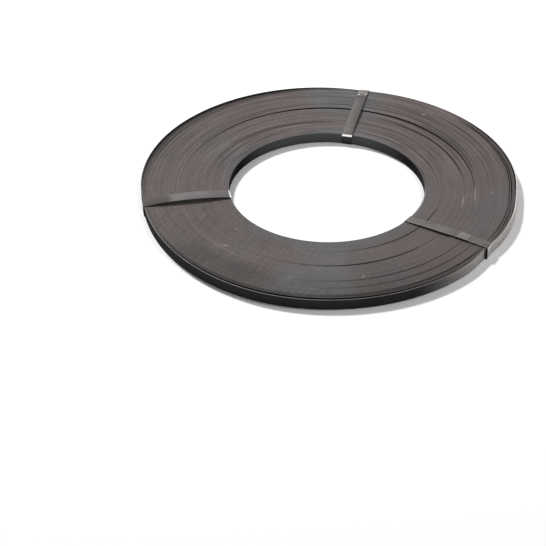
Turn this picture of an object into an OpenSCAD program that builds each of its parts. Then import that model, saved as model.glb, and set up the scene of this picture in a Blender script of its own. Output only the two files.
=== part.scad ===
// Coil of narrow blued steel strip, lying flat on its end and held by three flat steel straps.
// Sizes are in millimetres. Z is the axis of the coil, the floor is at z = 0 and the front is -Y.

/* [Strip] */
// Width of the strip, which is the height of the coil
strip_w = 16; // [10:0.5:32]
// Thickness of the strip
strip_t = 0.5; // [0.3:0.05:1]

/* [Coil] */
// Bore left by the winding mandrel
bore_d = 300; // [250:1:400]
// Radial build of all the turns where the back strap holds them
back_build = 137; // [110:0.5:190]
// Radial build of all the turns where the left strap holds them
left_build = 133; // [110:0.5:190]
// Radial build of all the turns where the right strap holds them
right_build = 135; // [110:0.5:190]

/* [Coil ends] */
// Turns that ran true together before the strip stepped sideways
turns_per_step = 7; // [4:1:20]
// Furthest that a step stands in or out of the end
end_runout = 0.35; // [0.05:0.05:0.8]
// Angle that spreads the steps in and out, from one to the next
runout_turn = 137.5; // [90:0.5:170]
// Radial build of the inner turns, inside those that slipped upwards together
slip_build = 76; // [60:1:90]
// Height by which the outer turns slipped
slip = 1.5; // [0.5:0.1:2]

/* [Loose turns] */
// Loose turns that spring away from the tight ones together
inner_bunch = 8; // [2:1:12]
// Loose turns outside those, up to the end of the strip
outer_bunch = 3; // [1:1:6]
// How soon a gap opens beside a strap: higher is sooner
gap_spread = 3; // [2:0.5:6]
// Length beyond each edge of a strap over which the turns stay pressed together
hold_over = 9.5; // [2:0.5:12]

/* [Gaps midway between straps] */
// Bulge of the tight turns, from back to left
left_bulge = 3.1; // [0:0.1:8]
// Gap inside the inner bunch, from back to left
left_gap = 1.9; // [0.5:0.1:4]
// Gap between the bunches, from back to left
left_outer_gap = 4; // [0.5:0.1:6]
// Bulge of the tight turns, along the front
front_bulge = 6.8; // [0:0.1:8]
// Gap inside the inner bunch, along the front
front_gap = 1.9; // [0.5:0.1:4]
// Gap between the bunches, along the front
front_outer_gap = 3.2; // [0.5:0.1:6]
// Bulge of the tight turns, from right to back
right_bulge = 4.2; // [0:0.1:8]
// Gap inside the inner bunch, from right to back
right_gap = 1.4; // [0.5:0.1:4]
// Gap between the bunches, from right to back
right_outer_gap = 2; // [0.5:0.1:6]

/* [Straps] */
// Width of each strap
strap_w = 16; // [10:0.5:24]
// Thickness of each strap
strap_t = 0.5; // [0.3:0.05:0.6]
// Inside radius of the bends in a strap
strap_bend_r = 0.45; // [0.2:0.05:0.5]
// Clearance between a strap and the coil
strap_seat = 0.15; // [0.15:0.01:0.2]
// Direction of the strap at the back
back_angle = 78; // [50:1:110]
// Direction of the strap at the left
left_angle = 191; // [165:1:215]
// Direction of the strap at the right, in the bore
right_angle = 324; // [300:1:345]
// Rise of the slack upper run of the back strap
back_bow = 2.4; // [1:0.1:6]
// Rise of the slack upper run of the left strap
left_bow = 3.6; // [1:0.1:6]
// Rise of the slack upper run of the right strap
right_bow = 1.7; // [1:0.1:6]
// Angle by which the right strap runs askew from the bore outwards
right_skew = 5.8; // [0:0.1:8]

/* [Strap joints] */
// Length of the lap where a strap is joined to itself
lap_len = 18; // [8:1:24]
// Distance from the outside of the coil to the middle of the back strap's joint
back_lap_in = 15; // [14:1:80]
// Distance from the outside of the coil to the middle of the left strap's joint
left_lap_in = 29; // [14:1:80]
// Distance from the outside of the coil to the middle of the right strap's joint
right_lap_in = 40; // [14:1:80]

/* [Hidden] */
$fn = 96;

// Radii: the straps hold the turns at three radii, and the round part lies within all of them.
bore_r = bore_d / 2;
holds = [bore_r + back_build, bore_r + left_build, bore_r + right_build];
bunch_in = inner_bunch * strip_t;
bunch_out = outer_bunch * strip_t;
loose_build = bunch_in + bunch_out;
pack_r = min(holds) - loose_build - 2 * strip_t;

// Heights: the strap under the coil rests on the floor and carries the lowest step.
low_z = strap_t + strap_seat;
strip_z = low_z + end_runout;
high_z = strip_z + strip_w + end_runout;
loop_low = strap_t;
loop_high = high_z + strap_seat;

// Edges of the steps of the wound ends, with one where the outer turns slipped.
step_build = turns_per_step * strip_t;
slip_r = bore_r + slip_build;
true_steps = round(slip_build / step_build);
slipped_steps = max(1, round((pack_r - slip_r) / step_build));
edges = concat(
    [for (i = [0 : true_steps - 1]) bore_r + slip_build * i / true_steps],
    [for (i = [0 : slipped_steps]) slip_r + (pack_r - slip_r) * i / slipped_steps]);
last_step = len(edges) - 2;

// Directions in which the straps hold the turns, and half of the angle over which each does.
skew_shift = right_build * tan(right_skew);
hold_at = [back_angle, left_angle, right_angle + asin(skew_shift / holds[2])];
hold_angle = asin((strap_w / 2 + hold_over) / min(holds));

blued = [0.36, 0.34, 0.34];
strap_steel = [0.42, 0.40, 0.40];

// Points along an arc, both ends included.
function arc(at, r, from, to, n) =
    [for (i = [0 : n]) let (a = from + (to - from) * i / n) at + r * [cos(a), sin(a)]];

// Direction of a point from the origin.
function bearing(p) = atan2(p[1], p[0]);

// Sideways stand of a step: the strip keeps its width, so both ends of a step move together.
function stand(i) = end_runout * sin(i * runout_turn + 20) + (i < true_steps ? 0 : slip);

// Radial section of the tight turns.
function pack_section() = concat(
    [for (i = [0 : last_step], e = [0, 1]) [edges[i + e], strip_z + strip_w + stand(i)]],
    [for (i = [last_step : -1 : 0], e = [1, 0]) [edges[i + e], strip_z + stand(i)]]);

// Each span runs from the held part of one strap to the held part of the next:
// its two angles, the two radii at which the turns are held, and the gaps between.
spans = [
    [[hold_at[0] + hold_angle, hold_at[1] - hold_angle], [holds[0], holds[1]],
        [left_bulge, left_gap, left_outer_gap]],
    [[hold_at[1] + hold_angle, hold_at[2] - hold_angle], [holds[1], holds[2]],
        [front_bulge, front_gap, front_outer_gap]],
    [[hold_at[2] + hold_angle, hold_at[0] + 360 - hold_angle], [holds[2], holds[0]],
        [right_bulge, right_gap, right_outer_gap]]];
span_points = 36;

// Opening of the loose turns across a span, from 0 at both straps to 1 between them.
function opening(s) = 1 - pow(abs(2 * s - 1), gap_spread);

// Smooth way from 0 to 1 across a span.
function ease(s) = s * s * (3 - 2 * s);

// Points across one span, at a depth under the outermost turn and sprung out by a share of a gap.
function across(span, depth, gap) =
    [for (i = [0 : span_points]) let (
        s = i / span_points,
        a = span[0][0] + (span[0][1] - span[0][0]) * s,
        held = span[1][0] + (span[1][1] - span[1][0]) * ease(s))
        (held - depth + gap * opening(s)) * [cos(a), sin(a)]];

// Outside of the outermost turn, with the stretches that the straps hold.
function outline() = [for (span = spans, p = concat(
    across(span, 0, span[2][0] + span[2][1] + span[2][2]),
    arc([0, 0], span[1][1], span[0][1] + hold_angle / 2, span[0][1] + 1.5 * hold_angle, 2))) p];

// Crescent that is open inside one bunch of loose turns, over one span.
module crescent(span, bunch) {
    gaps = span[2];
    depth = bunch == 0 ? loose_build : bunch_out;
    inside = bunch == 0 ? gaps[0] : gaps[0] + gaps[1];
    near = across(span, depth, inside);
    far = across(span, depth, inside + gaps[bunch + 1]);
    polygon(concat(near, [for (i = [span_points - 1 : -1 : 1]) far[i]]));
}

// The turns wound tight on each other, as one body with stepped ends.
module tight_turns() {
    rotate_extrude() polygon(pack_section());
}

// The outer turns, pressed together at the straps and sprung apart between them.
module loose_outer_turns() {
    translate([0, 0, strip_z + slip])
        linear_extrude(strip_w)
            difference() {
                polygon(outline());
                circle(r = pack_r - 2 * strip_t);
                for (span = spans, bunch = [0, 1]) crescent(span, bunch);
            }
}

// Slack upper run of a strap: the centres of its two bends, and the centre and radius of its arc.
function crown(hold, bow) = let (
    b = strap_bend_r,
    inner = [bore_r - strap_seat + b, loop_high - b],
    outer = [hold + strap_seat - b, loop_high + slip - b],
    half = norm(outer - inner) / 2,
    reach = (half * half + bow * bow) / (2 * bow),
    along = (outer - inner) / (2 * half))
    [inner, outer, (inner + outer) / 2 + (bow - reach) * [-along[1], along[0]], reach + b];

// Loop of a strap around the section of the coil, grown outwards by g.
function strap_loop(top, g) = let (
    r = strap_bend_r + g,
    low = loop_low + strap_bend_r,
    to_in = bearing(top[0] - top[2]),
    to_out = bearing(top[1] - top[2]))
    concat(
        arc([top[0][0], low], r, 180, 270, 4),
        arc([top[1][0], low], r, 270, 360, 4),
        arc(top[1], r, 0, to_out, 4),
        [for (i = [1 : 23]) let (a = to_out + (to_in - to_out) * i / 24)
            top[2] + (top[3] + g) * [cos(a), sin(a)]],
        arc(top[0], r, to_in, 180, 4));

// Second thickness of strap over the joint, on the upper run.
module lap(top, at) {
    from = acos((at - lap_len / 2 - top[2][0]) / top[3]);
    to = acos((at + lap_len / 2 - top[2][0]) / top[3]);
    polygon(concat(
        arc(top[2], top[3] + strap_t / 2, from, to, 6),
        arc(top[2], top[3] + 2 * strap_t, to, from, 6)));
}

// One strap, bent around the coil and lapped on top, at an angle around the axis.
module strap(angle, hold, bow, lap_in, skew) {
    top = crown(hold, bow);
    rotate([0, 0, angle])
        intersection() {
            rotate_extrude() {
                difference() {
                    polygon(strap_loop(top, strap_t));
                    polygon(strap_loop(top, 0));
                }
                lap(top, hold - lap_in);
            }
            translate([bore_r, 0, -strap_t])
                rotate([0, 0, skew])
                    translate([-strap_w, -strap_w / 2, 0])
                        cube([hold - bore_r + 2 * strap_w, strap_w, strip_w + slip + bow + strap_w]);
        }
}

module coil() {
    color(blued) union() {
        tight_turns();
        loose_outer_turns();
    }
}

module strap_back() {
    color(strap_steel) strap(back_angle, holds[0], back_bow, back_lap_in, 0);
}

module strap_left() {
    color(strap_steel) strap(left_angle, holds[1], left_bow, left_lap_in, 0);
}

module strap_right() {
    color(strap_steel) strap(right_angle, holds[2], right_bow, right_lap_in, right_skew);
}

coil();
strap_back();
strap_left();
strap_right();
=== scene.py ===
"""Dresses a flat coil of narrow blued steel strip, held by three flat steel straps.

The solids give the sizes. The strip's turns are modelled as a tight pack with ringed ends and
cracks between turns, and as separate loose turns around it. The classes hold their sizes in
millimetres and their directions in degrees from +X. The meshes and the studio are in metres.
"""

from __future__ import annotations

import logging
import math
import random
from dataclasses import dataclass
from enum import Enum, IntEnum

import bpy
import numpy as np
from mathutils import Matrix, Vector

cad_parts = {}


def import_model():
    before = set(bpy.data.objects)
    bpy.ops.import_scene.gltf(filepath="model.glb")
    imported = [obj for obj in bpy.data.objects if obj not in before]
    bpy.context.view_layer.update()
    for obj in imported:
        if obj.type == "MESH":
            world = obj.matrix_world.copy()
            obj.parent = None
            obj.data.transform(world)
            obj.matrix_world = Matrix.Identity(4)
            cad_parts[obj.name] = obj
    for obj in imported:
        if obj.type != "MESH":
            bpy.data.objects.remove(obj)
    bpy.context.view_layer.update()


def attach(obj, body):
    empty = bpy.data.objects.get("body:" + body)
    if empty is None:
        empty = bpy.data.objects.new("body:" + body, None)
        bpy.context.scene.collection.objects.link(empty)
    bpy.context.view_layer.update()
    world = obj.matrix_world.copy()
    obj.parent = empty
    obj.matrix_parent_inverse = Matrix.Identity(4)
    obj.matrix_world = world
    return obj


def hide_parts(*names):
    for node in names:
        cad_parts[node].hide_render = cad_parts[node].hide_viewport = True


LOG = logging.getLogger("steel_coil")
MM = 0.001
TOUCH = 1e-6
BORE_R = 150.0
Point = tuple[float, float]
Place = tuple[float, float, float]
Colour = tuple[float, float, float]
Array = np.ndarray
Piece = bpy.types.Object
Face = bpy.types.MeshPolygon
Material = bpy.types.Material
WHITE: Colour = (1.0, 1.0, 1.0)


class StrapPlace(Enum):
    """Place of each strap."""

    BACK = (78.0, 287.0, 2.24)
    LEFT = (191.0, 282.5, 0.1)
    RIGHT = (326.0, 285.0, 1.37)

    def __init__(self, angle: float, hold: float, slip: float) -> None:
        """Keeps the direction, the outside radius and the upward slip of the turns under it."""
        self.angle, self.hold, self.slip = angle, hold, slip


class CoilFace(IntEnum):
    """Finish of a face of the coil, as the number of its material."""

    EDGE = 0
    RIM = 1
    FLAT = 2
    BORE = 3
    PAINTED_REFLECTION = 4


class StrapFace(IntEnum):
    """Finish of a face of a strap, as the number of its material."""

    PLAIN = 0
    POLISHED = 1
    DARK = 2
    LAP = 3
    PAINTED_REFLECTION = 4


@dataclass(frozen=True)
class Val:
    """A value that leaves a node, with operators that add Math nodes."""

    tree: Tree
    socket: bpy.types.NodeSocket

    def _math(self, operation: str, first: Val | float, second: Val | float) -> Val:
        """Adds one Math node for two values or numbers, and gives its result."""
        return self.tree.node(
            "ShaderNodeMath", {"operation": operation}, {0: first, 1: second}
        ).out(0)

    def __add__(self, other: Val | float) -> Val:
        """Adds."""
        return self._math("ADD", self, other)

    def __sub__(self, other: Val | float) -> Val:
        """Subtracts."""
        return self._math("SUBTRACT", self, other)

    def __rsub__(self, other: float) -> Val:
        """Subtracts this value from a number."""
        return self._math("SUBTRACT", other, self)

    def __mul__(self, other: Val | float) -> Val:
        """Multiplies."""
        return self._math("MULTIPLY", self, other)

    def __truediv__(self, other: Val | float) -> Val:
        """Divides."""
        return self._math("DIVIDE", self, other)

    def __pow__(self, other: Val | float) -> Val:
        """Raises to a power."""
        return self._math("POWER", self, other)

    def __or__(self, other: Val | float) -> Val:
        """Takes the larger of two values."""
        return self._math("MAXIMUM", self, other)

    __radd__, __rmul__ = __add__, __mul__


@dataclass(frozen=True)
class Placed:
    """A node in a tree."""

    tree: Tree
    node: bpy.types.Node

    def out(self, key: str | int = 0) -> Val:
        """Gives one output by name or number."""
        return Val(self.tree, self.node.outputs[key])


class Tree:
    """A node tree under construction."""

    def __init__(self, tree: bpy.types.NodeTree) -> None:
        """Empties the tree of a material or of the surroundings."""
        self.tree = tree
        self.tree.nodes.clear()

    def node(
        self,
        kind: str,
        settings: dict[str, object] | None = None,
        inputs: dict[str | int, object] | None = None,
    ) -> Placed:
        """Adds a node.

        Args:
            kind: Blender's name of the node type.
            settings: Properties, which are set first.
            inputs: Values, colours or links for the sockets, by name or number.

        Returns:
            The node.
        """
        made = self.tree.nodes.new(kind)
        for key, value in (settings or {}).items():
            setattr(made, key, value)
        for key, value in (inputs or {}).items():
            if isinstance(value, Val):
                self.tree.links.new(value.socket, made.inputs[key])
            else:
                made.inputs[key].default_value = value
        return Placed(self, made)

    def mix(self, factor: Val | float, first: Val | Colour, second: Val | Colour) -> Val:
        """Mixes two colours, where the factor is the share of the second one."""
        colours = [c if isinstance(c, Val) else (*c, 1.0) for c in (first, second)]
        return self.node(
            "ShaderNodeMix", {"data_type": "RGBA"}, {0: factor, 6: colours[0], 7: colours[1]}
        ).out(2)

    def noise(self, vector: Val, scale: float, detail: float) -> Val:
        """Gives noise around 0.5, with a scale and a number of finer levels."""
        return self.node(
            "ShaderNodeTexNoise", None, {"Vector": vector, "Scale": scale, "Detail": detail}
        ).out(0)

    def spread(self, value: Val, low: float, high: float) -> Val:
        """Spreads a value smoothly from 0 at the low end to 1 at the high end."""
        return self.node(
            "ShaderNodeMapRange", {"interpolation_type": "SMOOTHSTEP"},
            {"Value": value, "From Min": low, "From Max": high},
        ).out(0)

    def seen(self) -> Val:
        """Finds the rays that show a picture: from the camera, a mirror or clear glass.

        Returns:
            1 for such a ray, or else 0.
        """
        path = self.node("ShaderNodeLightPath")
        direct, mirror = path.out("Is Camera Ray"), path.out("Is Glossy Ray")
        return direct | mirror | path.out("Is Transmission Ray")


class Surface(Tree):
    """A node material under construction, on the piece's own coordinates."""

    def __init__(self, name: str) -> None:
        """Starts an empty material.

        Args:
            name: Name of the material.
        """
        self.material = bpy.data.materials.new(name)
        self.material.use_nodes = True
        super().__init__(self.material.node_tree)
        self.place = self.node("ShaderNodeTexCoord").out("Object")

    def bump(self, height: Val, depth: float, strength: float) -> Val:
        """Gives a normal tilted by a height, over a depth in millimetres."""
        return self.node(
            "ShaderNodeBump", None,
            {"Strength": strength, "Distance": depth * MM, "Height": height},
        ).out(0)

    def finish(self, inputs: dict[str | int, object]) -> Material:
        """Closes the material with a Principled shader.

        Args:
            inputs: Values and links for the shader's sockets.

        Returns:
            The material.
        """
        shader = self.node("ShaderNodeBsdfPrincipled", None, inputs).out(0)
        self.node("ShaderNodeOutputMaterial", None, {0: shader})
        return self.material


class RoundSurface(Surface):
    """A material that is laid out around the coil's axis."""

    def __init__(self, name: str) -> None:
        """Finds the distance from the axis, and the cosine and sine of the angle around it.

        Args:
            name: Name of the material.
        """
        super().__init__(name)
        split = self.node("ShaderNodeSeparateXYZ", None, {0: self.place})
        x, y = split.out(0), split.out(1)
        self.radius = (x * x + y * y) ** 0.5
        self.cosine, self.sine = x / self.radius, y / self.radius

    def toward(self, angle: float) -> Val:
        """Gives the cosine of the angle to a direction in degrees."""
        way = math.radians(angle)
        return self.cosine * math.cos(way) + self.sine * math.sin(way)

    def beyond(self, low: float, high: float) -> Val:
        """Gives 0 inside a radius in millimetres and 1 outside a larger one."""
        return self.spread(self.radius, low * MM, high * MM)

    def rings(self, per_mm: float, around: float, detail: float) -> Val:
        """Gives noise that changes quickly across the turns and slowly along them."""
        vector = self.node(
            "ShaderNodeCombineXYZ", None,
            {0: self.radius * (per_mm / MM), 1: self.cosine * around, 2: self.sine * around},
        ).out(0)
        return self.noise(vector, 1.0, detail)


@dataclass(frozen=True)
class Scuff:
    """Light rub mark on the end of the coil, along the turns unless it is turned."""

    radius: float
    angle: float
    length: float
    width: float
    turned: float = 0.0
    gain: float = 1.0

    def cover(self, surface: Surface) -> Val:
        """Gives the mark's strength, which fades from its middle to its edges.

        Args:
            surface: Material that shows the mark.

        Returns:
            Strength from 0 to the mark's gain.
        """
        way = math.radians(self.angle)
        at = (self.radius * MM * math.cos(way), self.radius * MM * math.sin(way), 0.0)
        local = surface.node(
            "ShaderNodeMapping", {"vector_type": "TEXTURE"},
            {
                "Vector": surface.place,
                "Location": at,
                "Rotation": (0.0, 0.0, way + math.radians(90.0 + self.turned)),
                "Scale": (0.5 * self.length * MM, 0.5 * self.width * MM, 1.0),
            },
        ).out(0)
        fade = surface.node("ShaderNodeTexGradient", {"gradient_type": "SPHERICAL"}, {0: local})
        return fade.out(1) * self.gain


@dataclass(frozen=True)
class Streak:
    """Darker or lighter streak along the turns, which fades out at its ends and edges."""

    radius: float
    angle: float
    reach: float
    width: float
    gain: float

    def shade(self, surface: RoundSurface) -> Val:
        """Gives the change of tone.

        Args:
            surface: Material that shows the streak.

        Returns:
            The change of tone, which is 0 away from the streak.
        """
        off = (surface.radius - self.radius * MM) / (0.5 * self.width * MM)
        facing = surface.toward(self.angle)
        along = surface.spread(facing, math.cos(math.radians(self.reach)), 1.0)
        return surface.spread(1.0 - off * off, 0.0, 1.0) * along * self.gain


@dataclass(frozen=True)
class TurnEdges:
    """Slit edges of the turns, which make the ends of the coil: satin grey with fine rings.

    Each direction is where its stretch of painted sheen, painted shade, painted light, brushed
    grain and so on is strongest.
    """

    warm_dark: Colour = (0.040, 0.0312, 0.0297)
    warm_light: Colour = (0.152, 0.1245, 0.1215)
    cool_dark: Colour = (0.038, 0.036, 0.037)
    cool_light: Colour = (0.147, 0.142, 0.145)
    rub: Colour = (0.290, 0.274, 0.264)
    roughness: float = 0.5
    painted_sheen_to: float = 84.0
    painted_front_shade_to: float = 272.0
    shade_to: float = 172.0
    cool_to: float = 262.0
    brushed_to: float = 228.0
    brush_way: float = 62.0
    dim_to: float = 132.0
    painted_light_to: float = 62.0
    scuffs: tuple[Scuff, ...] = (
        Scuff(210.0, 349.3, 56.0, 4.0, 2.0),
        Scuff(226.6, 354.4, 78.0, 4.2, 2.0),
        Scuff(252.0, 356.3, 14.0, 10.0, 0.0, 0.55),
        Scuff(257.2, 53.3, 15.0, 5.5, 0.0, 1.4),
        Scuff(219.0, 227.7, 15.0, 6.0, 50.0, 1.1),
        Scuff(240.5, 229.1, 14.0, 5.0, 60.0, 0.6),
        Scuff(178.5, 221.6, 10.0, 7.0, 0.0, 0.6),
        Scuff(246.5, 257.5, 14.0, 7.0, 70.0, 0.65),
        Scuff(241.0, 283.1, 14.0, 10.0, 40.0, 0.75),
        Scuff(276.0, 298.4, 10.0, 5.0, 0.0, 0.7),
    )
    streaks: tuple[Streak, ...] = (
        # Some dark streaks near the outer edge paint the shade of gaps between turns; the others
        # change the tone along the turns
        Streak(209.5, 284.0, 42.0, 5.0, -0.45),
        Streak(211.0, 36.0, 34.0, 6.0, -0.45),
        Streak(227.5, 42.0, 34.0, 6.0, -0.20),
        Streak(247.0, 296.0, 40.0, 4.0, -0.30),
        Streak(264.0, 300.0, 40.0, 4.0, -0.30),
        Streak(175.5, 312.0, 46.0, 4.0, -0.35),
        Streak(283.5, 336.0, 11.0, 2.0, -0.80),
        Streak(282.0, 228.0, 22.0, 8.0, -0.35),
        Streak(286.0, 146.0, 34.0, 6.0, -0.35),
        Streak(270.0, 120.0, 32.0, 18.0, 0.38),
        Streak(161.0, 60.0, 17.0, 28.0, 0.30),
        Streak(255.0, 233.0, 22.0, 64.0, -0.22),
        Streak(282.5, 287.0, 22.0, 8.0, -0.45),
        Streak(280.4, 313.0, 17.0, 2.6, -0.90),
        Streak(278.2, 138.0, 44.0, 2.4, -0.40),
        Streak(280.9, 138.0, 44.0, 2.4, 0.25),
        Streak(273.6, 142.0, 40.0, 3.0, 0.20),
        Streak(222.0, 92.0, 16.0, 7.0, 0.25),
        Streak(254.0, 96.0, 20.0, 12.0, 0.22),
        Streak(219.0, 67.0, 13.0, 10.0, 0.22),
        Streak(250.0, 66.0, 14.0, 10.0, 0.15),
    )

    def ringed(self, s: RoundSurface, fine: Val, middle: Val) -> Val:
        """Gives the tone of the rings, whose contrast is raised toward the painted sheen.

        Args:
            s: Material under construction.
            fine: Noise of the single turns.
            middle: Noise of bunches of turns.

        Returns:
            Tone around 0.5.
        """
        lines = s.spread(s.rings(0.40, 0.9, 0.0), 0.60, 0.72)
        rings = (fine - 0.5) * 1.9 + (middle - 0.5) * 1.1 - lines * 0.6
        # Painted sheen: the rings show more contrast toward the sheen's direction
        clear = 0.16 + 0.84 * s.spread(s.toward(self.painted_sheen_to), 0.0, 0.65)
        hairs = s.spread(s.rings(0.75, 1.8, 0.0), 0.66, 0.78)
        hairs = hairs * (0.75 - 0.40 * s.beyond(190.0, 215.0))
        return 0.51 + rings * clear + hairs * s.spread(s.toward(self.dim_to), 0.1, 0.8)

    def painted_light_and_grain(self, s: RoundSurface, tone: Val) -> Val:
        """Adds the painted shade toward the front and the left, the brushed grain, the painted
        shade and light near the outer edge, and the streaks.

        Args:
            s: Material under construction.
            tone: Tone without them.

        Returns:
            Tone with them.
        """
        # Painted shade: darker toward the front, more so from 200 mm outwards
        painted_front_shade = s.spread(s.toward(self.painted_front_shade_to), 0.45, 0.95)
        tone = tone - painted_front_shade * (0.05 + 0.22 * s.beyond(200.0, 280.0))
        # Painted shade: darker toward the left, more so at the outside toward the front
        shade = s.spread(s.toward(self.shade_to), 0.25, 0.90)
        near = s.beyond(230.0, 280.0) * (1.0 - s.spread(s.sine, -0.4, 0.1))
        tone = tone - shade * (0.17 + 0.11 * near)
        way = (0.0, 0.0, math.radians(self.brush_way))
        grain = s.node(
            "ShaderNodeMapping", {"vector_type": "TEXTURE"},
            {0: s.place, "Rotation": way, "Scale": (12.0, 1.0, 1.0)},
        ).out(0)
        brushed = s.spread(s.toward(self.brushed_to), 0.35, 0.9)
        tone = tone + (s.noise(grain, 240.0, 3.0) - 0.5) * brushed * 0.55
        # Painted shade on the outer tight turns at the back left, and painted light on the loose
        # turns beside the back strap
        dim = s.spread(s.toward(self.dim_to), 0.80, 0.93) * s.beyond(274.5, 279.5)
        light = s.spread(s.toward(self.painted_light_to), 0.88, 0.97) * s.beyond(279.0, 283.0)
        tone = tone - dim * 0.55 + light
        for streak in self.streaks:
            tone = tone + streak.shade(s)
        return tone

    def marks(self, s: RoundSurface) -> Val:
        """Gives the strength of all the scuffs, broken up by fine noise."""
        first, *others = (scuff.cover(s) for scuff in self.scuffs)
        return s.spread(sum(others, first) * (0.3 + s.noise(s.place, 420.0, 4.0)), 0.10, 0.95)

    def material(self) -> Material:
        """Builds the material on the distance from the axis and the angle around it.

        Returns:
            The material.
        """
        s = RoundSurface("turn_edges")
        fine, middle = s.rings(0.8, 2.6, 2.0), s.rings(0.24, 1.3, 3.0)
        cloud, speckle = s.noise(s.place, 16.0, 5.0), s.noise(s.place, 380.0, 2.0)
        facing = s.toward(self.painted_sheen_to)
        # Painted sheen: a lighter tone in a narrow sector toward 84 degrees and in the opposite one
        painted_sheen = s.spread(facing * facing, 0.90, 1.0)
        tone = self.ringed(s, fine, middle)
        tone = tone + (cloud - 0.5) * 0.50 + (speckle - 0.5) * 0.65 + painted_sheen * 0.07
        tone = self.painted_light_and_grain(s, tone)
        warm = s.mix(tone, self.warm_dark, self.warm_light)
        cool = s.mix(tone, self.cool_dark, self.cool_light)
        patch = s.noise(s.place, 5.5, 3.0) + (1.0 - s.beyond(155.0, 174.0)) * 0.18
        # The painted sheen also makes the steel bluer there, more so at the outside
        patch = patch + painted_sheen * (0.14 + 0.22 * s.beyond(205.0, 230.0))
        patch = patch + 0.12 * s.spread(s.toward(self.cool_to), 0.35, 0.95)
        steel = s.mix(s.spread(patch, 0.56, 0.86), warm, cool)
        marks = self.marks(s)
        return s.finish({
            "Base Color": s.mix(marks, steel, self.rub),
            "Metallic": 0.12,
            "Specular IOR Level": 0.2,
            "Roughness": self.roughness + (middle - 0.5) * 0.25 - marks * 0.08,
            "Normal": s.bump(fine, 0.15, 0.3),
        })


@dataclass(frozen=True)
class RimEdges:
    """Edges of the first and last turns: brighter where rubbed, with a painted highlight on the
    right and painted shade in the dull stretches.
    """

    dull: Colour = (0.062, 0.057, 0.056)
    rubbed_and_highlight: Colour = (0.700, 0.665, 0.645)
    shaded_to: float = 140.0
    roughness: float = 0.36

    def material(self) -> Material:
        """Builds the material with rubbed and less rubbed lengths, a painted highlight and painted
        shade.

        Returns:
            The material.
        """
        s = RoundSurface("rim_edges")
        outside = s.beyond(200.0, 210.0)
        # Painted shade: the brighter steel is taken away at the back left, and on the first turn at
        # the back
        shaded_side = outside * s.spread(s.toward(self.shaded_to), 0.35, 0.85)
        shaded_side = shaded_side + (1.0 - outside) * s.spread(s.sine, -0.6, 0.1)
        # Painted highlight: the brighter steel is kept to the right side
        near = 0.12 + 0.88 * s.spread(s.cosine, 0.88, 0.99)
        wear_and_painted_light = s.noise(s.place, 24.0, 4.0) + 0.3 * s.spread(s.cosine, 0.8, 1.0)
        share = s.spread(wear_and_painted_light, 0.22, 0.55) * (1.0 - shaded_side) * near
        return s.finish({
            "Base Color": s.mix(share, self.dull, self.rubbed_and_highlight),
            "Metallic": 0.6,
            "Roughness": self.roughness + (1.0 - share) * 0.12,
        })


@dataclass(frozen=True)
class StripFlat:
    """Flat sides of the strip: dark blued steel, which can carry a painted reflection, brighter
    toward the right.
    """

    name: str = "strip_flat"
    painted_reflection_share: float = 0.0
    dark: Colour = (0.023, 0.0225, 0.024)
    light: Colour = (0.048, 0.047, 0.049)
    painted_reflection_colour: Colour = (0.495, 0.464, 0.448)
    roughness: float = 0.32

    def material(self) -> Material:
        """Builds the material with streaks that run along the strip.

        Returns:
            The material.
        """
        s = RoundSurface(self.name)
        along = s.node("ShaderNodeMapping", None, {0: s.place, "Scale": (1.0, 1.0, 40.0)}).out(0)
        streaks, cloud = s.noise(along, 9.0, 4.0), s.noise(s.place, 11.0, 3.0)
        tone = 0.5 + (streaks - 0.5) * 0.9 + (cloud - 0.5) * 0.9
        # Painted reflection: brighter, more metallic steel toward the right
        painted_reflection = s.spread(s.cosine + (streaks - 0.5) * 0.2, 0.42, 0.88) * self.painted_reflection_share
        return s.finish({
            "Base Color": s.mix(painted_reflection, s.mix(tone, self.dark, self.light), self.painted_reflection_colour),
            "Metallic": 0.06 + 0.84 * painted_reflection,
            "Specular IOR Level": 0.0,
            "Roughness": self.roughness + (cloud - 0.5) * 0.25,
            "Normal": s.bump(streaks, 0.1, 0.2),
        })


@dataclass(frozen=True)
class BoreFlat:
    """Flat side of the first turn, in the bore: dull blued steel, with a painted reflection that is
    lighter and bluer at the back.
    """

    dark: Colour = (0.006, 0.005, 0.005)
    painted_reflection_blue: Colour = (0.102, 0.105, 0.111)
    painted_light_to: float = 92.0
    roughness: float = 0.6

    def material(self) -> Material:
        """Builds the material with the painted reflection.

        Returns:
            The material.
        """
        s = RoundSurface("bore_flat")
        cloud = s.noise(s.place, 14.0, 3.0)
        # Painted reflection: lighter and bluer toward the back
        share = s.spread(s.toward(self.painted_light_to) + (cloud - 0.5) * 0.3, 0.45, 0.95)
        return s.finish({
            "Base Color": s.mix(share, self.dark, self.painted_reflection_blue),
            "Specular IOR Level": 0.02,
            "Roughness": self.roughness + (cloud - 0.5) * 0.2,
        })


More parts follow.
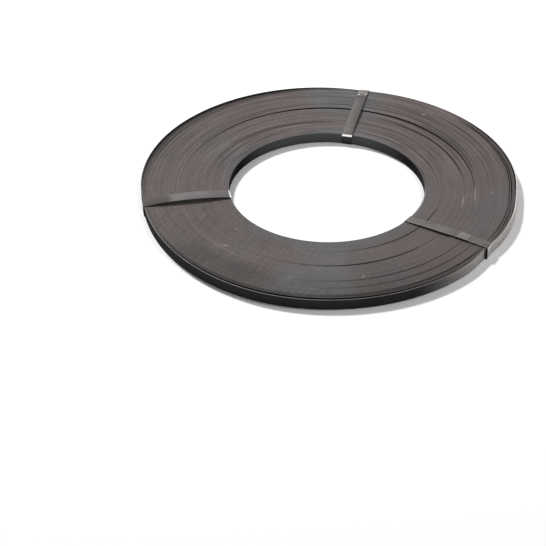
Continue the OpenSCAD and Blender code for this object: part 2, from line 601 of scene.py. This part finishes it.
@dataclass(frozen=True)
class StrapSteel:
    """Flat steel strap: a lighter grey than the strip's edges, with cloudy wear.

    From a radius outwards a strap can have a film of another tone, and be more matt there.
    """

    name: str = "strap_steel"
    dark: Colour = (0.076, 0.069, 0.066)
    light: Colour = (0.168, 0.157, 0.151)
    roughness: float = 0.52
    metal: float = 0.2
    film_from: float = 400.0
    film_over: float = 20.0
    film: Colour = (0.066, 0.057, 0.053)
    matt: float = 0.0

    def material(self) -> Material:
        """Builds the material with cloudy wear and fine speckle.

        Returns:
            The material.
        """
        s = RoundSurface(self.name)
        cloud, speckle = s.noise(s.place, 45.0, 4.0), s.noise(s.place, 420.0, 2.0)
        tone = 0.5 + (cloud - 0.5) * 1.1 + (speckle - 0.5) * 0.9
        edges = self.film_from * MM, (self.film_from + self.film_over) * MM
        film = s.spread(s.radius + (cloud - 0.5) * 0.03, *edges)
        return s.finish({
            "Base Color": s.mix(film * 0.85, s.mix(tone, self.dark, self.light), self.film),
            "Metallic": self.metal,
            "Specular IOR Level": 0.2,
            "Roughness": self.roughness + (cloud - 0.5) * 0.3 + film * self.matt,
            "Normal": s.bump(speckle, 0.1, 0.2),
        })


@dataclass(frozen=True)
class PaleFloor:
    """Plain matt floor, white in the picture and a little darker for the light it gives back."""

    lit: Colour = (0.80, 0.80, 0.80)
    shown: Colour = (1.10, 1.10, 1.10)
    roughness: float = 0.9

    def material(self) -> Material:
        """Builds the floor's material."""
        s = Surface("pale_floor")
        return s.finish({
            "Base Color": s.mix(s.seen(), self.lit, self.shown),
            "Roughness": self.roughness,
            "Specular IOR Level": 0.0,
        })


class Bench:
    """Small modelling jobs with Blender's operators."""

    @staticmethod
    def clear() -> None:
        """Leaves edit mode and deselects everything."""
        if bpy.context.object and bpy.context.object.mode != "OBJECT":
            bpy.ops.object.mode_set(mode="OBJECT")
        bpy.ops.object.select_all(action="DESELECT")

    @staticmethod
    def named(name: str) -> Piece:
        """Names the object that an operator has just made, and gives it."""
        bpy.context.object.name = bpy.context.object.data.name = name
        return bpy.context.object

    @staticmethod
    def edit() -> None:
        """Goes into edit mode with everything selected."""
        bpy.ops.object.mode_set(mode="EDIT")
        bpy.ops.mesh.select_all(action="SELECT")

    @staticmethod
    def extrude(way: Vector | Place) -> None:
        """Extrudes what is selected by a way in metres."""
        bpy.ops.mesh.extrude_region_move(TRANSFORM_OT_translate={"value": way})

    @staticmethod
    def pick(piece: Piece) -> None:
        """Selects one piece alone and makes it active.

        Args:
            piece: Object to select.
        """
        Bench.clear()
        piece.select_set(True)
        bpy.context.view_layer.objects.active = piece

    @staticmethod
    def chain(name: str, points: list[Vector], close: bool = True) -> Piece:
        """Draws a chain of edges by extruding one vertex from point to point.

        Args:
            name: Name of the new object.
            points: Corners of the chain, in metres.
            close: Whether the chain comes back to its first point.

        Returns:
            The object, in edit mode with all of the chain selected.
        """
        Bench.clear()
        bpy.ops.mesh.primitive_plane_add(size=MM)
        made = Bench.named(name)
        Bench.edit()
        bpy.ops.mesh.merge(type="CENTER")
        bpy.ops.transform.translate(value=points[0])
        stops = points + points[:1] if close else points
        for here, there in zip(stops, stops[1:]):
            Bench.extrude(there - here)
        bpy.ops.mesh.select_all(action="SELECT")
        if close:
            bpy.ops.mesh.remove_doubles(threshold=TOUCH)
        return made

    @staticmethod
    def apply(piece: Piece, kind: str, settings: dict[str, object]) -> None:
        """Adds a modifier and applies it.

        Args:
            piece: Object to change.
            kind: Type of the modifier.
            settings: Properties of the modifier.
        """
        Bench.pick(piece)
        modifier = piece.modifiers.new(kind.lower(), kind)
        for key, value in settings.items():
            setattr(modifier, key, value)
        bpy.ops.object.modifier_apply(modifier=modifier.name)

    @staticmethod
    def outwards(piece: Piece) -> None:
        """Merges doubles and turns all faces outwards.

        Args:
            piece: Object to mend.
        """
        Bench.pick(piece)
        Bench.edit()
        bpy.ops.mesh.remove_doubles(threshold=TOUCH)
        bpy.ops.mesh.normals_make_consistent(inside=False)
        bpy.ops.object.mode_set(mode="OBJECT")

    @staticmethod
    def join(pieces: list[Piece], name: str) -> Piece:
        """Joins objects into the first one.

        Args:
            pieces: Objects to join.
            name: Name of the result.

        Returns:
            The joined object.
        """
        Bench.pick(pieces[0])
        for piece in pieces[1:]:
            piece.select_set(True)
        if len(pieces) > 1:
            bpy.ops.object.join()
        pieces[0].name = pieces[0].data.name = name
        return pieces[0]

    @staticmethod
    def smooth(piece: Piece, angle: float) -> None:
        """Shades a piece smooth, apart from edges sharper than an angle in degrees."""
        Bench.pick(piece)
        bpy.ops.object.shade_smooth_by_angle(angle=math.radians(angle))

    @staticmethod
    def points(piece: Piece) -> Array:
        """Reads the points of a mesh.

        Args:
            piece: Object to read.

        Returns:
            Rows of x, y and z.
        """
        flat = np.empty(len(piece.data.vertices) * 3, dtype=np.float32)
        piece.data.vertices.foreach_get("co", flat)
        return flat.reshape(-1, 3).astype(float)

    @staticmethod
    def set_points(piece: Piece, rows: Array) -> None:
        """Moves the points of a mesh to new places."""
        piece.data.vertices.foreach_set("co", rows.astype(np.float32).ravel())
        piece.data.update()

    @staticmethod
    def dress(piece: Piece, finishes: list[Material], which: list[int]) -> None:
        """Gives each face one of several materials.

        Args:
            piece: Object to dress.
            finishes: Materials of the piece.
            which: Number of the material of each face.
        """
        piece.data.materials.clear()
        for finish in finishes:
            piece.data.materials.append(finish)
        piece.data.polygons.foreach_set("material_index", [int(number) for number in which])


@dataclass(frozen=True)
class Crack:
    """Gap between two tight turns, open over part of the way round.

    The turns outside it are pushed outwards, less and less over the length of the fade.
    """

    radius: float
    start: float
    peak: float
    end: float
    width: float
    fade: float = 14.0
    slack: float = 0.01

    def shift(self, radius: Array, angle: Array) -> Array:
        """Gives how far the turns outside the gap are pushed outwards, in millimetres."""
        share = np.clip(1.0 - (radius - self.radius) / self.fade, 0.0, 1.0)
        return self.open_at(angle) * share * share * (radius > self.radius + self.slack)

    def open_at(self, angle: Array) -> Array:
        """Gives the width of the gap.

        Args:
            angle: Angles around the axis, in degrees.

        Returns:
            Widths in millimetres.
        """
        turned = (angle - self.start) % 360.0
        rise, fall = self.peak - self.start, self.end - self.peak
        share = np.where(turned < rise, turned / rise, 1.0 - (turned - rise) / fall)
        share = np.clip(share, 0.0, 1.0)
        return self.width * share * share * (3.0 - 2.0 * share)


@dataclass(frozen=True)
class Span:
    """Stretch of outer turns between two straps.

    The bulge is what the edge of the tight turns gains midway, and the sink is how far the inner
    bunch of loose turns lies lower there. The gaps of each bunch are the one before it and the one
    between its turns. Rise and fall shape the two sides, and the gaps can be widest before the
    middle and shut before the second strap. A dent has a depth, and its place and width are shares
    of the way across. The hold is the angle beside a strap where the turns stay pressed together.
    """

    first: StrapPlace
    second: StrapPlace
    bulge: float
    sink: float
    gaps: tuple[Point, ...]
    rise: float = 1.0
    fall: float = 1.0
    spread: float = 3.2
    gap_peak: float = 0.5
    gap_end: float = 1.0
    dent: Point = (0.0, 0.5)
    dent_width: float = 0.08
    hold: float = 3.0

    @property
    def across(self) -> float:
        """Angle from the first strap to the second."""
        return (self.second.angle - self.first.angle) % 360.0

    def reach(self, bunch: int, turn: int, bunches: tuple[int, ...]) -> float:
        """Gives how far a loose turn stands out midway.

        Args:
            bunch: Number of the bunch, from 0.
            turn: Number of the turn in its bunch, from 0.
            bunches: Turns in each bunch.

        Returns:
            Sum of the gaps inside the turn, in millimetres.
        """
        inner = sum(
            first + (count - 1) * between
            for count, (first, between) in zip(bunches, self.gaps[:bunch])
        )
        first, between = self.gaps[bunch]
        return inner + first + turn * between

    def share(self, angle: Array) -> Array:
        """Gives the share of the way from the first strap to the second, over 1 outside it."""
        return ((angle - self.first.angle) % 360.0) / self.across

    def held(self, share: Array) -> Array:
        """Gives the radius that leads smoothly from one strap's hold to the next one's."""
        ease = share * share * (3.0 - 2.0 * share)
        return self.first.hold + (self.second.hold - self.first.hold) * ease

    def opened(self, share: Array) -> Array:
        """Gives how far the turns stand open, from 0 beside the straps to 1 midway.

        Args:
            share: Shares of the way across the span.

        Returns:
            Openings from 0 to 1.
        """
        margin = self.hold / self.across
        inner = np.clip((share - margin) / (1.0 - 2.0 * margin), 0.0, 1.0)
        rise, fall = np.minimum(2.0 * inner, 1.0), np.minimum(2.0 - 2.0 * inner, 1.0)
        way = np.where(inner < 0.5, rise ** self.rise, fall ** self.fall)
        return 1.0 - (1.0 - way) ** self.spread

    def sprung(self, share: Array) -> Array:
        """Gives how far the gaps stand open, from 0 to 1."""
        stops = (0.0, self.gap_peak, self.gap_end)
        return self.opened(np.interp(share, stops, (0.0, 0.5, 1.0)))

    def gain(self, share: Array, bunches: tuple[int, ...]) -> Array:
        """Gives what the edge of the tight turns gains, more where the gaps are shut.

        Args:
            share: Shares of the way across the span.
            bunches: Turns in each bunch.

        Returns:
            Gains in millimetres.
        """
        gaps = self.reach(len(bunches) - 1, bunches[-1] - 1, bunches)
        depth, at = self.dent
        dented = depth * np.exp(-(((share - at) / self.dent_width) ** 2))
        return (self.bulge + gaps) * self.opened(share) - gaps * self.sprung(share) - dented


@dataclass
class Coil:
    """The wound strip: tight turns with ringed ends, and the loose turns around them.

    The bevel, the groove and the lips of cracks are a width and a depth. Each ring stands a little
    above or below the end: it keeps a share of the last one's stand and strays from that.
    """

    bore_r: float = BORE_R
    pack_r: float = 280.0
    strip_t: float = 0.5
    strip_w: float = 16.0
    strip_z: float = 1.0
    slip_r: float = 226.0
    slip: float = 0.9
    slip_tilt: float = 1.7
    slip_to: float = 40.0
    slip_step: float = 0.1
    slip_notch: float = 0.2
    bunches: tuple[int, ...] = (8, 3)
    segments: int = 192
    first_ring: float = 1.5
    bevel: Point = (0.2, 0.2)
    groove: Point = (0.1, 0.12)
    foot_bevel: float = 0.35
    ring_low: float = 1.0
    ring_high: float = 2.4
    ring_crest: float = 0.10
    ring_stand: float = 0.08
    ring_keep: float = 0.55
    ring_stray: float = 0.6
    ring_snap: float = 0.4
    crack_depth: float = 7.0
    crack_shut: float = 0.04
    crack_lip: Point = (0.02, 0.06)
    under_ring: float = 5.28
    lean_from: float = 200.0
    turn_fill: float = 0.97
    turn_bevel: float = 0.04
    turn_stand: float = 0.12
    turn_phase: float = 2.4
    floor_gap: float = 0.1
    wall_slope: float = 0.35
    crease: float = 38.0
    seed: int = 7
    spans: tuple[Span, ...] = (
        Span(StrapPlace.BACK, StrapPlace.LEFT, 2.5, 1.6, ((0.7, 0.25), (2.0, 0.12)), rise=1.2),
        Span(
            StrapPlace.LEFT, StrapPlace.RIGHT, 3.6, 0.1, ((0.5, 0.20), (4.3, 0.02)),
            rise=1.8, spread=2.0,
        ),
        Span(
            StrapPlace.RIGHT, StrapPlace.BACK, 3.1, 0.1, ((1.7, 0.08), (2.2, 0.05)),
            spread=2.2, gap_peak=0.464, gap_end=0.77, dent=(2.4, 0.27),
        ),
    )
    cracks: tuple[Crack, ...] = (
        Crack(175.0, 268.0, 312.0, 354.0, 1.6),
        Crack(185.0, 80.0, 98.0, 174.0, 1.2),
        Crack(209.5, 258.0, 284.0, 330.0, 1.9),
        Crack(211.0, 4.0, 36.0, 70.0, 1.9),
        Crack(236.5, 12.0, 60.0, 114.0, 1.3),
        Crack(247.0, 262.0, 296.0, 330.0, 0.8),
        Crack(253.5, 22.0, 55.0, 82.0, 0.7),
        Crack(264.0, 262.0, 300.0, 330.0, 0.7),
        Crack(271.0, 104.0, 140.0, 178.0, 0.8, math.inf),
        Crack(277.4, 325.0, 336.0, 366.0, 1.4, math.inf),
        Crack(276.0, 102.0, 146.0, 176.0, 1.0, math.inf),
        Crack(278.7, 272.0, 316.0, 325.0, 1.9, math.inf),
        Crack(278.4, 336.0, 375.0, 412.0, 1.5, math.inf),
    )

    def section(self) -> list[Point]:
        """Draws the radial section of the tight turns, around both ends.

        Returns:
            Corners in radius and height.
        """
        draw = random.Random(self.seed)
        bore, low = self.bore_r, self.strip_z
        top = low + self.strip_w
        r, stand, lift = bore + self.first_ring, 0.0, 0.0
        rows: list[Point] = [
            (bore, low + self.foot_bevel), (bore, top - self.bevel[1]), (bore + self.bevel[0], top),
            (r - self.groove[0], top), (r, top - self.groove[1]),
        ]
        under: list[Point] = [(bore + self.foot_bevel, low)]
        cuts = sorted(crack.radius for crack in self.cracks)
        while r < self.pack_r - self.ring_low:
            stand = self.ring_keep * stand + draw.gauss(0.0, self.ring_stray)
            stand = max(-1.0, min(1.0, stand))
            height = top + lift + stand * self.ring_stand
            end = min(r + draw.uniform(self.ring_low, self.ring_high), self.pack_r)
            slipped = r < self.slip_r <= end + self.ring_snap
            cut = bool(cuts) and cuts[0] <= end + self.ring_snap
            if slipped:
                end = self.slip_r
            elif cut:
                end = cuts.pop(0)
            rows.append((0.5 * (r + end), height))
            if slipped:
                # A notch, and the step up to the turns that slipped
                lift, past = self.slip, end + self.slip_step
                rows += [
                    (end, height - self.slip_notch),
                    (end + 0.6 * self.slip_step, height - self.slip_notch),
                    (past, top + lift - self.ring_crest),
                ]
                under += [(end, low), (past, low + lift)]
                end = past
            elif cut:
                # A crack that is still shut, with a lip on both sides
                floor, lip = top + lift - self.crack_depth, height - self.crack_lip[1]
                past = end + self.crack_shut + self.crack_lip[0]
                rows += [
                    (end - self.crack_lip[0], lip),
                    (end, floor),
                    (end + self.crack_shut, floor),
                    (past, lip),
                ]
                end = past
            else:
                rows.append((end, height - self.ring_crest))
            if end - under[-1][0] > self.under_ring:
                under.append((end, low + lift + stand * self.ring_stand))
            r = end
        rows[-1] = (self.pack_r, top + lift - self.ring_crest)
        rows.append((self.pack_r, low + lift))
        return rows + [p for p in reversed(under) if p[0] < self.pack_r - self.ring_low]

    def tight_turns(self) -> Piece:
        """Spins the section around the axis, opens the cracks and leans the edge to the straps.

        Returns:
            The tight turns as one closed mesh.
        """
        points = [Vector((r * MM, 0.0, z * MM)) for r, z in self.section()]
        made = Bench.chain("tight_turns", points)
        bpy.ops.mesh.spin(
            steps=self.segments, angle=math.tau, center=(0.0, 0.0, 0.0), axis=(0.0, 0.0, 1.0)
        )
        Bench.outwards(made)
        rows = Bench.points(made)
        radius = np.hypot(rows[:, 0], rows[:, 1]) / MM
        angle = np.degrees(np.arctan2(rows[:, 1], rows[:, 0]))
        lean = np.clip((radius - self.lean_from) / (self.pack_r - self.lean_from), 0.0, 1.0) ** 2
        shift = (self.edge(angle) - self.pack_r) * lean
        for crack in self.cracks:
            shift += crack.shift(radius, angle)
        rows[:, :2] *= ((radius + shift) / radius)[:, None]
        slipped = radius > self.slip_r + 0.5 * self.slip_step
        rows[:, 2] += np.where(slipped, self.tilt(angle), 0.0) * MM
        Bench.set_points(made, rows)
        return made

    @property
    def loose_turns(self) -> int:
        """Number of all loose turns."""
        return sum(self.bunches)

    def tilt(self, angle: Array) -> Array:
        """Gives how much further than midway the outer turns have slipped, by the angle."""
        turned = self.slip_tilt * np.cos(np.radians(angle - self.slip_to))
        return np.maximum(turned, self.floor_gap - self.slip)

    def edge(self, angle: Array) -> Array:
        """Gives the outer edge of the tight turns with all cracks shut.

        Args:
            angle: Angles around the axis, in degrees.

        Returns:
            Radii in millimetres.
        """
        radius = np.zeros_like(angle)
        for span in self.spans:
            share = span.share(angle)
            gain = span.gain(share, self.bunches) - self.loose_turns * self.strip_t
            radius = np.where(share < 1.0, span.held(share) + gain, radius)
        return radius

    def rim(self, angle: Array) -> Array:
        """Gives the outer edge of the tight turns with the cracks open."""
        radius = np.full_like(angle, self.pack_r)
        return self.edge(angle) + sum(crack.shift(radius, angle) for crack in self.cracks)

    def loose_turn(self, bunch: int, turn: int) -> Piece:
        """Models one loose turn from a circle, drawn up to the strip's width.

        Args:
            bunch: Number of the bunch, from 0 on the inside.
            turn: Number of the turn in its bunch, from 0.

        Returns:
            The turn as a closed band.
        """
        Bench.clear()
        bpy.ops.mesh.primitive_circle_add(vertices=2 * self.segments, radius=self.pack_r * MM)
        made = Bench.named(f"loose_turn_{bunch}_{turn}")
        Bench.edit()
        bpy.ops.transform.translate(value=(0.0, 0.0, (self.strip_z + self.slip) * MM))
        Bench.extrude((0.0, 0.0, self.strip_w * MM))
        bpy.ops.object.mode_set(mode="OBJECT")
        rows = Bench.points(made)
        angle = np.degrees(np.arctan2(rows[:, 1], rows[:, 0]))
        radius = self.rim(angle) + (sum(self.bunches[:bunch]) + turn + 0.5) * self.strip_t
        height = self.tilt(angle) + self.turn_stand * math.sin(self.turn_phase * turn)
        for span in self.spans:
            share = span.share(angle)
            sprung = np.where(share < 1.0, span.sprung(share), 0.0)
            radius += span.reach(bunch, turn, self.bunches) * sprung
            height -= span.sink * sprung * (bunch == 0)
        rows[:, :2] *= (radius * MM / np.hypot(rows[:, 0], rows[:, 1]))[:, None]
        rows[:, 2] = np.maximum(rows[:, 2] + height * MM, self.floor_gap * MM)
        Bench.set_points(made, rows)
        Bench.outwards(made)
        thickness = self.turn_fill * self.strip_t * MM
        Bench.apply(made, "SOLIDIFY", {"thickness": thickness, "offset": 0.0})
        Bench.apply(made, "BEVEL", {"width": self.turn_bevel * MM, "segments": 1})
        return made

    def pack_finish(self, face: Face) -> CoilFace:
        """Chooses the finish of a face of the tight turns, where the first turn has its own.

        Args:
            face: Face of the tight turns.

        Returns:
            The finish.
        """
        first_r = self.bore_r + self.first_ring - 0.5 * self.groove[0]
        first = math.hypot(face.center.x, face.center.y) < first_r * MM
        if abs(face.normal.z) < self.wall_slope:
            return CoilFace.BORE if first else CoilFace.FLAT
        return CoilFace.RIM if first else CoilFace.EDGE

    def loose_finish(self, face: Face, bunch: int, last: bool) -> CoilFace:
        """Chooses the finish of a face of a loose turn.

        Args:
            face: Face of the turn.
            bunch: Number of its bunch, from 0 on the inside.
            last: Whether it is the outermost turn, which has the painted reflection on its outside.

        Returns:
            The finish.
        """
        if abs(face.normal.z) < self.wall_slope:
            # The outside of the outermost turn gets the painted reflection
            outward = last and face.normal.xy.dot(face.center.xy) > 0.0
            return CoilFace.PAINTED_REFLECTION if outward else CoilFace.FLAT
        return CoilFace.RIM if bunch else CoilFace.EDGE

    def build(self) -> Piece:
        """Models the coil and dresses it.

        Returns:
            The coil.
        """
        # The last finish is the strip's flat side with the painted reflection, for the outermost
        # turn's outside
        kinds = (TurnEdges(), RimEdges(), StripFlat(), BoreFlat(), StripFlat("flat_painted_reflection", 1.0))
        finishes = [kind.material() for kind in kinds]
        pack = self.tight_turns()
        Bench.dress(pack, finishes, [self.pack_finish(face) for face in pack.data.polygons])
        pieces = [pack]
        for bunch, count in enumerate(self.bunches):
            for number in range(count):
                turn = self.loose_turn(bunch, number)
                last = len(pieces) == self.loose_turns
                faces = turn.data.polygons
                Bench.dress(turn, finishes, [self.loose_finish(f, bunch, last) for f in faces])
                pieces.append(turn)
        made = Bench.join(pieces, "wound_coil")
        Bench.smooth(made, self.crease)
        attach(made, "root")
        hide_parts("coil")
        return made


@dataclass
class Strap:
    """One flat steel strap, bent around the section of the coil and lapped on top.

    The lap's place is measured from the bore. The swing turns the strap around the axis, the skew
    runs it askew from the bore outwards, the twist lifts one edge of the upper run, and the flare
    stands that edge of the outer run off. Each weld has a radius and a distance from the middle.
    """

    place: StrapPlace
    node: str
    lap_at: float
    bow: float
    swing: float = 0.0
    skew: float = 0.0
    twist: float = 0.0
    flare: float = 0.0
    welds: tuple[Point, ...] = ()
    wear_and_painted_light: bool = False
    width: float = 16.0
    thick: float = 0.5
    bevel: float = 0.1
    inner: float = 149.0
    stand_off: float = 0.8
    low: float = 0.25
    high: float = 18.2
    bend: float = 2.4
    foot: float = 0.8
    glint_len: float = 2.6
    shine: float = 0.25
    drop: float = 0.0
    lap_len: float = 18.0
    lap_gap: float = 0.02
    weld_r: float = 1.3
    weld_steps: tuple[Point, ...] = ((0.30, 0.85), (0.12, 0.5))
    crease: float = 40.0

    @property
    def outer(self) -> float:
        """Radius of the middle of the strap's outer run."""
        return self.place.hold + self.stand_off

    @property
    def rise(self) -> float:
        """How much higher the upper run ends at the outside than in the bore."""
        return self.place.slip - self.drop

    def crown(self, r: float) -> float:
        """Gives the height of the upper run.

        Args:
            r: Distance from the axis, in millimetres.

        Returns:
            Height in millimetres.
        """
        from_r, to_r = self.inner + self.bend, self.outer - self.bend
        share = (r - from_r) / (to_r - from_r)
        return self.high + self.rise * share + self.bow * 4.0 * share * (1.0 - share)

    def path(self) -> list[Point]:
        """Draws the loop of the strap's middle.

        Returns:
            Points in radius and height.
        """
        def corner(r: float, z: float, size: float, first: float) -> list[Point]:
            """Gives the points of one bend, from an angle in degrees."""
            turns = [math.radians(first + 15.0 * i) for i in range(7)]
            return [(r + size * math.cos(a), z + size * math.sin(a)) for a in turns]

        b, f = self.bend, self.foot
        top_r = np.linspace(self.outer - b, self.inner + b, 26)[1:-1].tolist()
        return [
            *corner(self.inner + f, self.low + f, f, 180.0),
            *corner(self.outer - f, self.low + f, f, 270.0),
            *corner(self.outer - b, self.high + self.rise - b, b, 0.0),
            *((r, self.crown(r)) for r in top_r),
            *corner(self.inner + b, self.high - b, b, 90.0),
            (self.inner, self.high - b - self.glint_len),
        ]

    def band(self, name: str, path: list[Point], close: bool) -> Piece:
        """Models a flat band along a path, with its width across it.

        Args:
            name: Name of the object.
            path: Points in radius and height.
            close: Whether the band is a loop.

        Returns:
            The band, in the direction of +X.
        """
        half = 0.5 * self.width * MM
        made = Bench.chain(name, [Vector((r * MM, -half, z * MM)) for r, z in path], close)
        Bench.extrude((0.0, 2.0 * half, 0.0))
        Bench.outwards(made)
        Bench.apply(made, "SOLIDIFY", {"thickness": self.thick * MM, "offset": 0.0})
        sharp = math.radians(50.0)
        Bench.apply(
            made, "BEVEL", {"width": self.bevel * MM, "segments": 2, "angle_limit": sharp}
        )
        return made

    def lap(self) -> Piece:
        """Models the second thickness of strap over the joint.

        Returns:
            The lap.
        """
        ends = [BORE_R + self.lap_at + side * 0.5 * self.lap_len for side in (-1.0, 1.0)]
        lift = self.thick + self.lap_gap
        path = [(r, self.crown(r) + lift) for r in np.linspace(*ends, 8).tolist()]
        return self.band("lap", path, False)

    def weld(self, at: float, across: float) -> Piece:
        """Models one small round weld on the upper run.

        Args:
            at: Distance from the axis.
            across: Distance from the middle of the strap.

        Returns:
            The weld.
        """
        Bench.clear()
        height = self.crown(at) + 1.4 * self.thick
        bpy.ops.mesh.primitive_circle_add(
            vertices=14, radius=self.weld_r * MM, fill_type="NGON",
            location=(at * MM, across * MM, height * MM),
        )
        made = Bench.named("weld")
        bpy.ops.object.transform_apply(location=True, rotation=False, scale=False)
        Bench.edit()
        for step, size in self.weld_steps:
            Bench.extrude((0.0, 0.0, step * MM))
            bpy.ops.transform.resize(value=(size, size, 1.0))
        Bench.outwards(made)
        return made

    def finish_at(self, face: Face) -> StrapFace:
        """Chooses the finish of a face of the loop.

        Args:
            face: Face of the loop, before it is turned to its place.

        Returns:
            The finish: a painted glint, painted shade in the bore and behind the outer run, a
                painted reflection or plain.
        """
        r, z = face.center.x / MM, face.center.z / MM
        # Painted glint: near-white polished steel on the inner bend and the run below it
        if r < self.inner + self.shine * self.bend and z > self.high - self.bend - self.glint_len:
            return StrapFace.POLISHED
        # Painted shade: dark steel on the run in the bore and behind the outer run
        outside = r > self.outer - self.thick
        if r < self.inner + self.thick or outside and face.normal.x < 0.2:
            return StrapFace.DARK
        # Painted reflection: brighter steel on the outside of the outer run
        painted_reflection = self.wear_and_painted_light and outside and face.normal.x > 0.5
        return StrapFace.PAINTED_REFLECTION if painted_reflection else StrapFace.PLAIN

    def pose(self, made: Piece) -> None:
        """Twists, flares and skews the strap and turns it to its place.

        Args:
            made: Strap in the direction of +X.
        """
        rows = Bench.points(made)
        top = np.clip((rows[:, 2] / MM - 0.5 * self.high) / (0.5 * self.high), 0.0, 1.0)
        lean = 0.5 - rows[:, 1] / (self.width * MM)
        outside = rows[:, 0] > (self.outer - 2.0 * self.thick) * MM
        rows[:, 2] += self.twist * top * lean * MM
        rows[:, 0] += self.flare * lean * outside * MM
        rows[:, 1] += (rows[:, 0] - self.inner * MM) * math.tan(math.radians(self.skew))
        Bench.set_points(made, rows)
        way = math.radians(self.place.angle + self.swing)
        made.data.transform(Matrix.Rotation(way, 4, "Z"))

    def build(self, finishes: list[Material]) -> Piece:
        """Models the strap with its lap and welds and dresses it.

        Args:
            finishes: Materials of the strap, in the order of StrapFace.

        Returns:
            The strap.
        """
        name = self.place.name.lower() + "_strap"
        loop = self.band(name, self.path(), True)
        lap = self.lap()
        welds = [self.weld(*spot) for spot in self.welds]
        Bench.dress(loop, finishes, [self.finish_at(face) for face in loop.data.polygons])
        kind = StrapFace.LAP if self.wear_and_painted_light else StrapFace.PLAIN
        Bench.dress(lap, finishes, [kind] * len(lap.data.polygons))
        for weld in welds:
            # The welds carry the painted glint
            Bench.dress(weld, finishes, [StrapFace.POLISHED] * len(weld.data.polygons))
        made = Bench.join([loop, lap, *welds], name)
        self.pose(made)
        Bench.smooth(made, self.crease)
        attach(made, "root")
        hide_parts(self.node)
        return made


@dataclass(frozen=True)
class Lamp:
    """Square area lamp that faces the coil, with its place in metres and its power in watts."""

    name: str
    at: Place
    size: float
    power: float
    colour: Colour = WHITE

    def hang(self) -> None:
        """Hangs the lamp at its place."""
        light = bpy.data.lights.new(self.name, "AREA")
        light.size, light.energy, light.color = self.size, self.power, self.colour
        hung = bpy.data.objects.new(self.name, light)
        hung.location = self.at
        hung.rotation_euler = (-Vector(self.at)).to_track_quat("-Z", "Y").to_euler()
        bpy.context.collection.objects.link(hung)


@dataclass
class Studio:
    """Floor, lights, surroundings and camera."""

    lens: float = 131.87
    sensor: float = 36.0
    clip: Point = (0.05, 60.0)
    camera_at: Place = (0.0, -2.55742, 1.71422)
    camera_to: Place = (-0.07568, -0.22943, 0.017)
    camera_roll: float = -0.294
    floor_size: float = 14.0
    sky: float = 0.26
    lamps: tuple[Lamp, ...] = (
        Lamp("key", (-2.30, 3.28, 4.46), 0.8, 310.0),
        Lamp("glint", (0.9, -0.15, 2.2), 0.4, 9.0),
    )

    def camera(self) -> None:
        """Places the camera at the photograph's view."""
        lens = bpy.data.cameras.new("camera")
        lens.lens, lens.sensor_width, lens.sensor_fit = self.lens, self.sensor, "HORIZONTAL"
        lens.clip_start, lens.clip_end = self.clip
        held = bpy.data.objects.new("camera", lens)
        held.location = self.camera_at
        look = Vector(self.camera_to) - Vector(self.camera_at)
        turn = look.to_track_quat("-Z", "Y").to_matrix().to_4x4()
        turn = turn @ Matrix.Rotation(math.radians(self.camera_roll), 4, "Z")
        held.rotation_euler = turn.to_euler()
        bpy.context.collection.objects.link(held)
        bpy.context.scene.camera = held

    def surroundings(self) -> None:
        """Lights the scene evenly from all round, with white in the picture."""
        world = bpy.data.worlds.new("studio")
        world.use_nodes = True
        tree = Tree(world.node_tree)
        strength = tree.seen() * (1.0 - self.sky) + self.sky
        white = tree.node("ShaderNodeBackground", None, {0: (*WHITE, 1.0), 1: strength}).out(0)
        tree.node("ShaderNodeOutputWorld", None, {0: white})
        bpy.context.scene.world = world

    def build(self) -> None:
        """Sets up all of the studio."""
        bpy.context.scene.view_settings.view_transform = "Standard"
        self.surroundings()
        Bench.clear()
        bpy.ops.mesh.primitive_plane_add(size=self.floor_size)
        floor = Bench.named("floor")
        floor.data.materials.append(PaleFloor().material())
        for lamp in self.lamps:
            lamp.hang()
        self.camera()


def main() -> None:
    """Builds the coil, its straps and the studio."""
    logging.basicConfig(level=logging.INFO, format="%(message)s")
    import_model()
    Studio().build()
    coil = Coil().build()
    LOG.info("%s: %d faces", coil.name, len(coil.data.polygons))
    steel = StrapSteel().material()
    filmed = StrapSteel(
        "filmed_strap", (0.084, 0.079, 0.076), (0.172, 0.164, 0.158),
        film_from=231.0, film=(0.114, 0.101, 0.093), matt=0.38,
    ).material()
    browned = StrapSteel(
        "browned_strap", (0.060, 0.0535, 0.0515), (0.142, 0.129, 0.124),
        film_from=258.0, film=(0.215, 0.193, 0.184),
    ).material()
    others = [
        # Painted glint, for the bends and welds
        StrapSteel("polished_strap", (0.86, 0.86, 0.86), (0.97, 0.97, 0.97), 0.2, 1.0).material(),
        # Painted shade, for the runs in the bore and behind the outer run
        StrapSteel("strap_painted_shade", (0.020, 0.019, 0.020), (0.050, 0.048, 0.050), 0.4, 0.5).material(),
        StrapSteel("worn_lap", (0.115, 0.108, 0.104), (0.225, 0.215, 0.208)).material(),
        # Painted reflection, for the outside of the right strap's outer run
        StrapSteel("strap_painted_reflection", (0.38, 0.365, 0.355), (0.66, 0.64, 0.625), 0.28, 0.8).material(),
    ]
    back = Strap(
        StrapPlace.BACK, "strap_back", 122.0, 2.2, twist=0.7, high=17.75, glint_len=1.0,
        welds=((271.0, -5.4), (268.5, 5.4)),
    )
    left = Strap(
        StrapPlace.LEFT, "strap_left", 104.0, 4.2, swing=0.6, twist=1.8, shine=0.9,
        width=17.0, high=19.0, drop=1.2,
    )
    right = Strap(
        StrapPlace.RIGHT, "strap_right", 95.0, 1.7, swing=-2.0, skew=5.8, flare=2.4, wear_and_painted_light=True,
    )
    for strap, plain in ((back, browned), (left, filmed), (right, steel)):
        made = strap.build([plain, *others])
        LOG.info("%s: %d faces", made.name, len(made.data.polygons))


if __name__ == "__main__":
    main()
